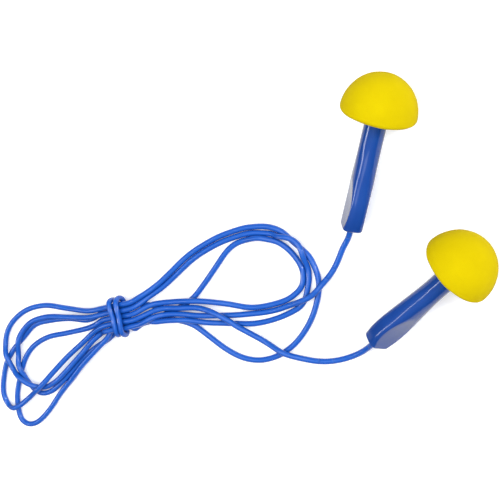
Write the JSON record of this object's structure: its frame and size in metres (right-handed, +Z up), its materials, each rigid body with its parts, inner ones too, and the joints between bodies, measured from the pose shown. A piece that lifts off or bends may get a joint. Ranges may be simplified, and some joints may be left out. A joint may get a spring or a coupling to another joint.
{
  "type": "corded foam ear plugs",
  "caption": "Pair of dome-shaped foam ear plugs on moulded grips, joined by a thin cord coiled and tied with a turn of itself.",
  "frame": {"origin": "on the table the object lies on, under the centre of its bounding box", "axes": "+Z up from the table; +X from the tied loops towards the plugs; +Y across, towards plug a"},
  "size_m": [0.1124, 0.0717, 0.0139],
  "materials": {
    "foam": "matte open-cell skin",
    "grip": "moulded, satin",
    "cord": "extruded, glossy",
    "adhesive": "cured film"
  },
  "bodies": {
    "coil": {"cord_coil": "cord"},
    "tail_a_1": {"cord_tail_a_1": "cord"},
    "tail_a_2": {"cord_tail_a_2": "cord"},
    "tail_a_3": {"cord_tail_a_3": "cord"},
    "tail_a_4": {"cord_tail_a_4": "cord"},
    "plug_a": {"foam_pod_a": "foam", "pod_adhesive_a": "adhesive", "stem_grip_a": "grip", "cord_adhesive_a": "adhesive", "cord_end_a": "cord"},
    "tail_b_1": {"cord_tail_b_1": "cord"},
    "tail_b_2": {"cord_tail_b_2": "cord"},
    "tail_b_3": {"cord_tail_b_3": "cord"},
    "tail_b_4": {"cord_tail_b_4": "cord"},
    "plug_b": {"foam_pod_b": "foam", "pod_adhesive_b": "adhesive", "stem_grip_b": "grip", "cord_adhesive_b": "adhesive", "cord_end_b": "cord"}
  },
  "joints": [
    {"name": "swing_a_1", "type": "hinge", "parent": "coil", "child": "tail_a_1", "pos_m": [0.02331, -0.00106, 0.00156], "axis": [0, 0, 1], "range_deg": [-5, 20], "stiffness_Nm_per_rad": 0.0005},
    {"name": "lift_a_1", "type": "hinge", "parent": "tail_a_1", "child": "tail_a_2", "pos_m": [0.02457, 0.00098, 0.00157], "axis": [0.8837, -0.4681, 0], "range_deg": [0, 25], "stiffness_Nm_per_rad": 0.0005},
    {"name": "swing_a_2", "type": "hinge", "parent": "tail_a_2", "child": "tail_a_3", "pos_m": [0.02565, 0.00312, 0.00171], "axis": [0, 0, 1], "range_deg": [-5, 20], "stiffness_Nm_per_rad": 0.0005},
    {"name": "lift_a_2", "type": "hinge", "parent": "tail_a_3", "child": "tail_a_4", "pos_m": [0.02694, 0.0051, 0.00208], "axis": [0.8279, -0.5609, 0], "range_deg": [0, 25], "stiffness_Nm_per_rad": 0.0005},
    {"name": "roll_a", "type": "hinge", "parent": "tail_a_4", "child": "plug_a", "pos_m": [0.02784, 0.00678, 0.00268], "axis": [0.3462, 0.921, 0.1788], "range_deg": [-40, 40], "stiffness_Nm_per_rad": 0.0005},
    {"name": "swing_b_1", "type": "hinge", "parent": "coil", "child": "tail_b_1", "pos_m": [0.02072, -0.01866, 0.00057], "axis": [0, 0, 1], "range_deg": [-15, 5], "stiffness_Nm_per_rad": 0.0005},
    {"name": "lift_b_1", "type": "hinge", "parent": "tail_b_1", "child": "tail_b_2", "pos_m": [0.02388, -0.01814, 0.00057], "axis": [0.2512, -0.9679, 0], "range_deg": [0, 25], "stiffness_Nm_per_rad": 0.0005},
    {"name": "swing_b_2", "type": "hinge", "parent": "tail_b_2", "child": "tail_b_3", "pos_m": [0.02687, -0.01707, 0.00084], "axis": [0, 0, 1], "range_deg": [-15, 5], "stiffness_Nm_per_rad": 0.0005},
    {"name": "lift_b_2", "type": "hinge", "parent": "tail_b_3", "child": "tail_b_4", "pos_m": [0.02949, -0.01555, 0.00183], "axis": [0.5728, -0.8197, 0], "range_deg": [0, 25], "stiffness_Nm_per_rad": 0.0005},
    {"name": "roll_b", "type": "hinge", "parent": "tail_b_4", "child": "plug_b", "pos_m": [0.03109, -0.01432, 0.00269], "axis": [0.757, 0.6285, 0.1788], "range_deg": [-40, 40], "stiffness_Nm_per_rad": 0.0005}
  ],
  "couplings": [
    {"joint": "swing_a_2", "follows": "swing_a_1", "ratio": 1},
    {"joint": "lift_a_2", "follows": "lift_a_1", "ratio": 1},
    {"joint": "swing_b_2", "follows": "swing_b_1", "ratio": 1},
    {"joint": "lift_b_2", "follows": "lift_b_1", "ratio": 1}
  ]
}
